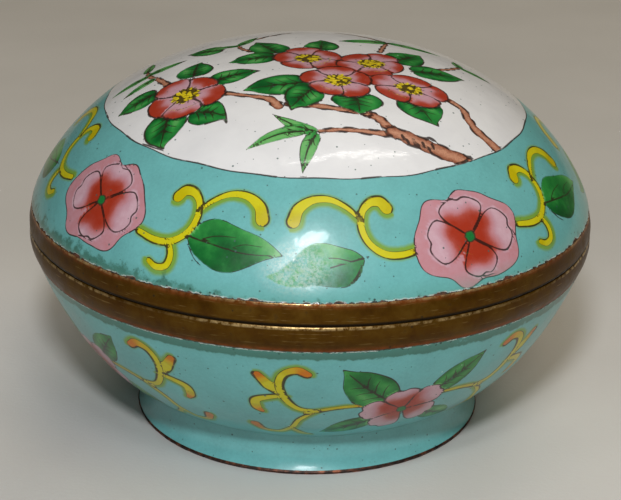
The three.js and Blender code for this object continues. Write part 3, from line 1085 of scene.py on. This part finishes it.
def make_bowl():
    floor_top = [(0, BOWL_LOW.z + WALL), (FLOOR_FLAT_RADIUS, BOWL_LOW.z + WALL)]
    side_in = bowl_side(WALL)[::-1]
    within = np.vstack([resample(floor_top, COARSE)[:-1], resample(side_in, 2.0)])
    outside = resample(bowl_side(), 0.33)
    seat = (FOOT_NECK[0] - FOOT_SHEET, FOOT_NECK[1] - FOOT_SEAT_DROP)
    under = resample([seat, (FLOOR_FLAT_RADIUS, BOWL_LOW.z), (0, BOWL_LOW.z)], 2.0)
    rings = np.vstack([within, outside, under])
    counts = ring_counts(within[:, 0], False) + [SKIN_AROUND] * len(outside)
    counts += ring_counts(under[:, 0], False)
    bowl = Turned(rings, counts)
    first, last = len(within), len(within) + len(outside) - 1
    bowl.outer = (bowl.ring >= first) & (bowl.ring <= last)
    # 0 at the rim and below 0 downwards.
    bowl.wall = np.where(bowl.outer, bowl.run[first] - bowl.along, FAR**3)
    canvas = paint_bowl(bowl)
    # Painted light: the bowl's turquoise is lifted by 1.06.
    piece = bowl.build("bowl_enamel", [enamel("Painted enamel, bowl", True, True, 1.06, 0.15)])
    bowl.disc_map(piece, first - 1, False)
    store_paint(piece, canvas)
    ragged = 0.05 + np.abs(wander(bowl.azimuth, 23, (37, 61, 89, 127), 0.06))
    above = np.where(bowl.outer, -bowl.wall - ragged, FAR)
    # A dark band just under the rim, fading out by 2.7 mm below it: painted shade, kept in the slot that
    # holds the lid's stains.
    down = -bowl.wall + wander(bowl.azimuth, 24, (2, 3, 7), 0.2)
    stains_and_shade = np.where(bowl.outer, 0.95 * ease(2.7, 1.3, down), 0)
    below_rim = np.where(bowl.outer, -bowl.wall, FAR)
    set_attribute(piece, "edge", np.column_stack([above, below_rim, stains_and_shade]))
    return dress(piece, "bowl")


BARE_HEIGHT = 0.8  # of the foot's bare copper edge


def make_foot():
    edge = FOOT_EDGE
    z = np.linspace(edge, edge + FOOT_FLARE, 14)
    share = 1 - (z - edge) / FOOT_FLARE
    skin = np.column_stack([FOOT_NECK[0] + (FOOT_HIGH.x - FOOT_NECK[0]) * share**2, z])
    neck_in = FOOT_NECK[0] - FOOT_SHEET
    low_in = FOOT_HIGH.x - FOOT_SHEET
    outside = np.vstack([[FOOT_NECK], skin[::-1], arc((FOOT_HIGH.x - 0.22, edge), 0.22, 0, -80, 4)])
    metal_out = arc((FOOT_HIGH.x - 0.31, 0.15), 0.15, 0, -90, 4)
    metal = np.vstack([[(FOOT_HIGH.x - 0.16, edge - 0.23)], metal_out])
    metal_in = arc((low_in + 0.2, 0.2), 0.2, 270, 180, 4)
    rise = [(neck_in, edge + FOOT_FLARE), (neck_in, FOOT_NECK[1] - FOOT_SEAT_DROP)]
    rings = np.vstack([outside, metal, metal_in, rise])
    foot = Turned(rings, [RING_AROUND] * len(rings), closed=True)
    low = ease(edge, 0.0, foot.height)
    foot.radius = foot.radius + low * wander(foot.azimuth, 41, (17, 29, 47, 71), 0.03) - 0.03 * low
    # Painted light: the foot's turquoise is lifted by 1.15.
    plain = enamel("Plain enamel, foot", False, False, 1.15)
    piece = foot.build("foot_enamel", [plain, bare_edge("Bare copper edge")])
    first_metal = int(np.argmax(rings[:, 1] < BARE_HEIGHT))
    last_metal = len(outside) + len(metal) + len(metal_in) - 2
    segment = np.array(foot.segment)
    bare = (segment >= first_metal) & (segment <= last_metal)
    piece.data.polygons.foreach_set("material_index", bare.astype(np.int32))
    foot.strip_map(piece, 4)
    return dress(piece, "foot_ring")


def fillet(corners_list, radii, steps=4):
    """A closed section through corners, each rounded by its radius."""
    out = []
    pts = [np.array(p, float) for p in corners_list]
    for i, (p, radius) in enumerate(zip(pts, radii)):
        before, after = pts[i - 1] - p, pts[(i + 1) % len(pts)] - p
        u, v = before / np.hypot(*before), after / np.hypot(*after)
        if radius <= 0:
            out.append(p)
            continue
        t = np.linspace(0, 1, steps)[:, None]
        a, b = p + u * radius, p + v * radius
        out += list((1 - t) ** 2 * a + 2 * t * (1 - t) * p + t**2 * b)
    return np.array(out)


def refine(section, pitch):
    """Adds rings to the long sides of a closed section."""
    out = []
    for a, b in zip(section, np.roll(section, -1, axis=0)):
        count = max(1, math.ceil(np.hypot(*(b - a)) / pitch))
        out += [a + (b - a) * k / count for k in range(count)]
    return np.array(out)


def make_rim(name, node, section, rubbed, copper_height, seam_shade, seed):
    """A brass ring, rubbed bright with a painted highlight near one height, coppery near another, with
    painted shade in the seam.
    """
    rings = refine(section, 0.5)
    ring = Turned(rings, [RING_AROUND] * len(rings), closed=True)
    outer = ring.radius > BOWL_RIM_HIGH.x - 2.0
    dent = wander(ring.azimuth, seed, (13, 29, 53, 83), 0.02)
    dent = dent + wander(ring.azimuth, seed + 1, (2, 3, 5), 0.02)
    ring.radius = ring.radius - outer * np.abs(dent)
    piece = ring.build(name, [BRASS])
    # Rubbed brass and a painted highlight: a bright line at the rubbed height.
    rub_and_painted_light = ease(0.30, 0.08, np.abs(ring.height - rubbed)) * outer
    rub_and_painted_light = rub_and_painted_light * np.clip(0.75 + wander(ring.azimuth, seed + 2, (3, 5, 9), 0.5), 0.15, 1)
    # Painted shade in the seam, fading out with distance from it.
    rub_and_painted_light = rub_and_painted_light - 1.4 * ease(seam_shade, 0.3 * seam_shade, np.abs(ring.height - SEAM)) * outer
    copper = ease(1.1, 0.1, np.abs(ring.height - copper_height)) * outer
    around = np.abs((ring.azimuth + 180) % 360 - 180) * math.radians(RIM_RADIUS)
    set_attribute(piece, "ring", np.column_stack([np.clip(rub_and_painted_light, -1, 1), copper, around]))
    ring.strip_map(piece, 4)
    return dress(piece, node)


RIM_RADIUS = BOWL_RIM_HIGH.x
LID_RIM_INSIDE = RIM_RADIUS - RIM_THICKNESS
BRASS = brass("Old brass")


def make_lid_rim():
    low, high = LID_RIM_LOW.z, LID_RIM_HIGH.z
    wide = LID_RIM_HIGH.x
    section = [
        (DOME_HIGH.x, high), (wide, low + 0.4 * (high - low)), (wide, low),
        (LID_RIM_INSIDE, low), (LID_RIM_INSIDE, high),
    ]
    rounded = fillet(section, [0.15, 0.6, 0.4, 0.15, 0])
    return make_rim("lid_rim_brass", "lid_rim", rounded, high, high, 0.60, 51)


def make_bowl_rim():
    low = BOWL_RIM_LOW.z
    rise = SEAM - low
    lip_out = LID_RIM_INSIDE - LIP_CLEARANCE
    lip_in = lip_out - LIP_THICKNESS
    lip_top = BOWL_RIM_HIGH.z
    section = [
        (lip_in, lip_top), (lip_out, lip_top), (lip_out, SEAM), (RIM_RADIUS - 0.2, SEAM),
        (RIM_RADIUS, low + 0.65 * rise), (RIM_RADIUS - 0.3, low + 0.35 * rise),
        (BOWL_HIGH.x, low), (lip_in, low),
    ]
    rounded = fillet(section, [0.3, 0.4, 0.1, 0.45, 0.7, 0.6, 0.12, 0])
    return make_rim("bowl_rim_brass", "bowl_rim", rounded, SEAM - 0.36, low, 0.16, 61)


make_lid_dome()
make_lid_rim()
make_bowl_rim()
make_bowl()
make_foot()

# ---------------------------------------------------------------- floor, light and camera


def make_floor():
    """A plain pale floor, slightly uneven."""
    g = Graph("Pale cloth")
    colour = g.ramp(g.noise(60, 3.0), [(0.3, (0.53, 0.515, 0.495)), (0.7, (0.58, 0.565, 0.545))])
    g.bump(0.25, 0.2, g.noise(0.8, 2.0))
    g.surface({"Base Color": colour, "Roughness": 0.9})
    mesh = bpy.data.meshes.new("floor")
    half = 3.0  # metres
    square = [(-half, -half, 0), (half, -half, 0), (half, half, 0), (-half, half, 0)]
    mesh.from_pydata(square, [], [(0, 1, 2, 3)])
    mesh.materials.append(g.material)
    floor = bpy.data.objects.new("floor", mesh)
    bpy.context.scene.collection.objects.link(floor)


AIM = Vector((0, 0, 0.04))  # where the lights point, in metres


def direction(azimuth, elevation):
    """The way from the box towards a light, as a unit vector."""
    a, e = math.radians(azimuth), math.radians(elevation)
    return Vector((math.sin(a) * math.cos(e), -math.cos(a) * math.cos(e), math.sin(e)))


def soft_light(name, place, size, power, colour, turn=0.0, mirrored=True, shape="ELLIPSE"):
    """An area light at a place in metres, which faces the box. size is its width and height."""
    data = bpy.data.lights.new(name, "AREA")
    data.shape = shape
    data.size, data.size_y = size
    data.energy = power
    data.color = colour
    light = bpy.data.objects.new(name, data)
    light.visible_glossy = mirrored
    facing = (place - AIM).to_track_quat("Z", "Y").to_matrix().to_4x4()
    light.matrix_world = Matrix.Translation(place) @ facing @ Matrix.Rotation(turn, 4, "Z")
    bpy.context.scene.collection.objects.link(light)


def tube_light(name, start, end, distance, width, power, colour):
    """A long thin light between two directions, each an azimuth and an elevation."""
    a, b = direction(*start) * distance, direction(*end) * distance
    middle = (a + b) / 2
    across = (middle.to_track_quat("Z", "Y").to_matrix().inverted() @ (b - a)).xy
    turn = math.atan2(across.y, across.x)
    size = (across.length, width)
    soft_light(name, middle + AIM, size, power, colour, turn, shape="RECTANGLE")


def make_lights():
    cool, warm, dim = (0.97, 1.0, 1.03), (1.0, 0.92, 0.78), (1.0, 0.82, 0.52)
    soft_light("key", Vector((-0.012, -0.35, 0.30)), (0.05, 0.04), 1.08, cool)
    soft_light("upper gleam", Vector((0.01, -0.285, 0.37)), (0.09, 0.042), 0.27, cool, math.radians(25))
    soft_light("lower gleam", Vector((-0.002, -0.408, 0.221)), (0.08, 0.05), 0.20, cool)
    soft_light("front ceiling", direction(30, 62) * 1.5, (0.7, 0.7), 3.4, dim, mirrored=False)
    soft_light("back wall", direction(165, 42) * 1.5, (0.9, 0.8), 5.4, warm, mirrored=False)
    soft_light("side wall", direction(100, 30) * 1.5, (0.6, 0.6), 1.1, dim, mirrored=False)
    tube_light("ceiling tube", (-90, 83), (116, 62), 1.5, 0.02, 1.8, (1.0, 0.97, 0.92))
    world = bpy.data.worlds.new("Room")
    world.use_nodes = True
    world.node_tree.nodes["Background"].inputs["Color"].default_value = (1.0, 0.80, 0.48, 1.0)
    world.node_tree.nodes["Background"].inputs["Strength"].default_value = 0.025
    bpy.context.scene.world = world


def make_camera():
    """The camera, from a fit to the photographed rims, foot and outlines."""
    distance, elevation, roll = 368.7, 21.67, -0.99
    target = Vector((0.17, 0, 29.76)) * MM
    data = bpy.data.cameras.new("camera")
    data.lens, data.sensor_width = 115.9, 36
    data.clip_start, data.clip_end = 0.01, 10
    camera = bpy.data.objects.new("camera", data)
    way = direction(0, elevation)
    look = way.to_track_quat("Z", "Y").to_matrix().to_4x4()
    tilt = Matrix.Rotation(math.radians(-roll), 4, "Z")
    camera.matrix_world = Matrix.Translation(target + way * distance * MM) @ look @ tilt
    bpy.context.scene.collection.objects.link(camera)
    bpy.context.scene.camera = camera


make_floor()
make_lights()
make_camera()
bpy.context.scene.view_settings.view_transform = "Standard"
